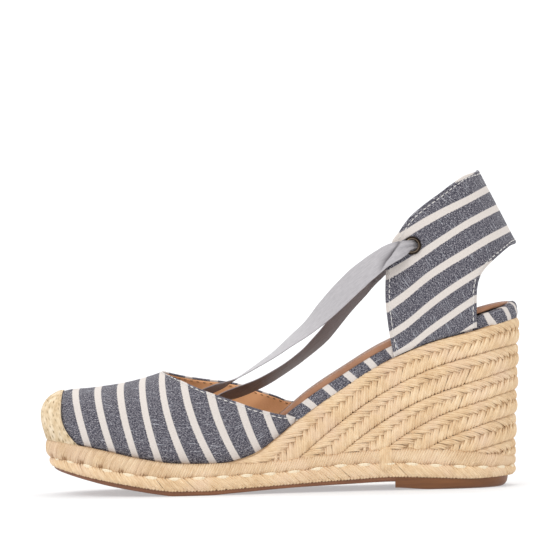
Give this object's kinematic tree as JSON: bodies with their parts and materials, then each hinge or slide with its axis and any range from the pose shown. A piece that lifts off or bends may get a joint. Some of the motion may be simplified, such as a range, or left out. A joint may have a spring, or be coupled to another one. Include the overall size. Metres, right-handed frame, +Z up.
{
  "type": "espadrille wedge sandal",
  "caption": "Closed-toe espadrille wedge sandal for the left foot: striped cloth vamp and heel quarter, ribbon ties through eyelets, fanned jute-braid wedge on a rubber outsole.",
  "frame": {"origin": "on the floor, under the centre of the shoe's bounding box without its ribbons", "axes": "toe at -X and heel at +X, medial side of the left shoe at +Y, +Z up from the floor"},
  "size_m": [0.2465, 0.0887, 0.1618],
  "materials": {
    "rubber_tread": "brown rubber sole, satin, with light scuffs",
    "jute_braid": "natural jute braid, fibrous and matte",
    "jute_weave": "bleached jute weave with small openings, matte",
    "stripe_cloth": "slubby navy chambray with cream woven stripes, matte",
    "insole_leather": "tan leather, soft satin",
    "antique_brass": "dark antique brass, worn brighter on the rim",
    "grosgrain": "pale lilac-grey grosgrain ribbon with a soft sheen"
  },
  "bodies": {
    "root": {"outsole": "rubber_tread", "heel_lift": "rubber_tread", "base_braid": "jute_braid", "wrapped_band": "jute_braid", "wedge_braid_1": "jute_braid", "wedge_braid_2": "jute_braid", "wedge_braid_3": "jute_braid", "wedge_braid_4": "jute_braid", "wedge_braid_5": "jute_braid", "wedge_braid_6": "jute_braid", "insole_rand": "stripe_cloth", "insole": "insole_leather", "vamp": "stripe_cloth", "toe_cap": "jute_weave", "heel_quarter": "stripe_cloth", "eyelet_lateral": "antique_brass", "eyelet_medial": "antique_brass", "ribbon_lateral": "grosgrain", "ribbon_medial": "grosgrain"}
  },
  "joints": []
}
